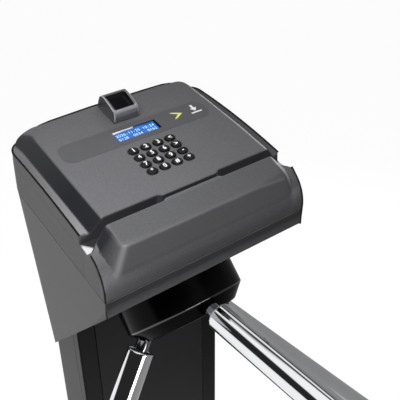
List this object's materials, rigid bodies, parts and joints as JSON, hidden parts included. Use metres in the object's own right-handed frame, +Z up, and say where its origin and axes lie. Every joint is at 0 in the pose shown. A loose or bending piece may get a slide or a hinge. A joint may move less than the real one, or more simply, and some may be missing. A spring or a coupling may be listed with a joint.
{
  "type": "tripod turnstile",
  "caption": "Free-standing tripod turnstile: sloped head with card slot, keypad, display and fingerprint reader on a slim column, with a turning hub and chrome arms.",
  "frame": {"origin": "centre of the floor bolt pattern, on the floor", "axes": "+Z up, -Y towards the front where the arms bar the way, +X to the right seen from the front"},
  "size_m": [0.715, 0.7597, 1.0464],
  "materials": {
    "cover_grey": "fine-textured moulded plastic, dark grey",
    "label_film": "matt printed film, slightly darker grey",
    "column_grey": "satin dark grey powder coat",
    "door_grey": "satin near-black grey powder coat",
    "trim_black": "black corner profile, semi-gloss",
    "hub_black": "polished black",
    "chrome": "polished chrome plate",
    "key_black": "black silicone-coated keys with white figures",
    "display_blue": "back-lit blue display behind a clear window",
    "reader_black": "dark grey semi-gloss",
    "reader_window": "dark sensor glass",
    "cap_black": "black end caps",
    "rubber_black": "black rubber",
    "base_grey": "satin near-black grey powder coat",
    "steel": "bright zinc-plated or ground steel",
    "cast_alu": "cast and machined aluminium",
    "board_green": "green printed circuit board",
    "coil_brown": "wound coils in a steel yoke",
    "module_black": "black module casing",
    "supply_grey": "perforated sheet case"
  },
  "bodies": {
    "post": {"base_plate": "base_grey", "column_shell": "column_grey", "column_trim_left": "trim_black", "column_trim_right": "trim_black", "column_door": "door_grey", "cable_grommet": "rubber_black", "power_supply": "supply_grey", "bracket_left": "steel", "bracket_right": "steel", "mechanism_plate": "steel", "frame_bolts": "steel", "lower_housing": "cover_grey", "top_cover": "cover_grey", "cover_screws": "steel", "label_strip": "label_film", "lcd_window": "display_blue", "lcd_module": "board_green", "keypad_board": "board_green", "card_reader_module": "module_black", "fingerprint_housing": "reader_black", "fingerprint_window": "reader_window", "control_board": "board_green", "bearing_housing": "cast_alu", "bearing_front": "steel", "bearing_rear": "steel", "detent_spring": "steel", "solenoids": "coil_brown"},
    "tripod": {"hub_cover": "hub_black", "arm_carrier": "cast_alu", "arm_stub_1": "chrome", "arm_stub_2": "chrome", "arm_stub_3": "chrome", "arm_tube_1": "chrome", "arm_tube_2": "chrome", "arm_tube_3": "chrome", "arm_caps": "cap_black", "hub_bolts": "steel", "main_shaft": "steel", "shaft_nut": "steel", "index_cam": "steel"},
    "detent": {"detent_lever": "steel", "detent_roller": "steel"},
    "plunger_upper": {"lock_plunger_upper": "steel"},
    "plunger_lower": {"lock_plunger_lower": "steel"},
    "key_01": {"key_01": "key_black"},
    "key_02": {"key_02": "key_black"},
    "key_03": {"key_03": "key_black"},
    "key_04": {"key_04": "key_black"},
    "key_05": {"key_05": "key_black"},
    "key_06": {"key_06": "key_black"},
    "key_07": {"key_07": "key_black"},
    "key_08": {"key_08": "key_black"},
    "key_09": {"key_09": "key_black"},
    "key_10": {"key_10": "key_black"},
    "key_11": {"key_11": "key_black"},
    "key_12": {"key_12": "key_black"},
    "key_13": {"key_13": "key_black"},
    "key_14": {"key_14": "key_black"},
    "key_15": {"key_15": "key_black"},
    "key_16": {"key_16": "key_black"}
  },
  "joints": [
    {"name": "tripod_turn", "type": "hinge", "parent": "post", "child": "tripod", "pos_m": [0, -0.04768, 0.8074], "axis": [0, 0.7071, 0.7071], "continuous": true},
    {"name": "detent_swing", "type": "hinge", "parent": "post", "child": "detent", "pos_m": [0.0735, -0.02364, 0.89084], "axis": [0, 0.7071, 0.7071], "range_deg": [-6, 0], "stiffness_Nm_per_rad": 2, "springref_deg": 4.58},
    {"name": "plunger_upper_slide", "type": "slide", "parent": "post", "child": "plunger_upper", "axis": [1, 0, 0], "range_m": [0, 0.003], "stiffness_N_per_m": 150, "springref_m": -0.003},
    {"name": "plunger_lower_slide", "type": "slide", "parent": "post", "child": "plunger_lower", "axis": [1, 0, 0], "range_m": [0, 0.003], "stiffness_N_per_m": 150, "springref_m": -0.003},
    {"name": "key_01_press", "type": "slide", "parent": "post", "child": "key_01", "axis": [0, 0.225, -0.9744], "range_m": [0, 0.0012], "stiffness_N_per_m": 200},
    {"name": "key_02_press", "type": "slide", "parent": "post", "child": "key_02", "axis": [0, 0.225, -0.9744], "range_m": [0, 0.0012], "stiffness_N_per_m": 200},
    {"name": "key_03_press", "type": "slide", "parent": "post", "child": "key_03", "axis": [0, 0.225, -0.9744], "range_m": [0, 0.0012], "stiffness_N_per_m": 200},
    {"name": "key_04_press", "type": "slide", "parent": "post", "child": "key_04", "axis": [0, 0.225, -0.9744], "range_m": [0, 0.0012], "stiffness_N_per_m": 200},
    {"name": "key_05_press", "type": "slide", "parent": "post", "child": "key_05", "axis": [0, 0.225, -0.9744], "range_m": [0, 0.0012], "stiffness_N_per_m": 200},
    {"name": "key_06_press", "type": "slide", "parent": "post", "child": "key_06", "axis": [0, 0.225, -0.9744], "range_m": [0, 0.0012], "stiffness_N_per_m": 200},
    {"name": "key_07_press", "type": "slide", "parent": "post", "child": "key_07", "axis": [0, 0.225, -0.9744], "range_m": [0, 0.0012], "stiffness_N_per_m": 200},
    {"name": "key_08_press", "type": "slide", "parent": "post", "child": "key_08", "axis": [0, 0.225, -0.9744], "range_m": [0, 0.0012], "stiffness_N_per_m": 200},
    {"name": "key_09_press", "type": "slide", "parent": "post", "child": "key_09", "axis": [0, 0.225, -0.9744], "range_m": [0, 0.0012], "stiffness_N_per_m": 200},
    {"name": "key_10_press", "type": "slide", "parent": "post", "child": "key_10", "axis": [0, 0.225, -0.9744], "range_m": [0, 0.0012], "stiffness_N_per_m": 200},
    {"name": "key_11_press", "type": "slide", "parent": "post", "child": "key_11", "axis": [0, 0.225, -0.9744], "range_m": [0, 0.0012], "stiffness_N_per_m": 200},
    {"name": "key_12_press", "type": "slide", "parent": "post", "child": "key_12", "axis": [0, 0.225, -0.9744], "range_m": [0, 0.0012], "stiffness_N_per_m": 200},
    {"name": "key_13_press", "type": "slide", "parent": "post", "child": "key_13", "axis": [0, 0.225, -0.9744], "range_m": [0, 0.0012], "stiffness_N_per_m": 200},
    {"name": "key_14_press", "type": "slide", "parent": "post", "child": "key_14", "axis": [0, 0.225, -0.9744], "range_m": [0, 0.0012], "stiffness_N_per_m": 200},
    {"name": "key_15_press", "type": "slide", "parent": "post", "child": "key_15", "axis": [0, 0.225, -0.9744], "range_m": [0, 0.0012], "stiffness_N_per_m": 200},
    {"name": "key_16_press", "type": "slide", "parent": "post", "child": "key_16", "axis": [0, 0.225, -0.9744], "range_m": [0, 0.0012], "stiffness_N_per_m": 200}
  ]
}
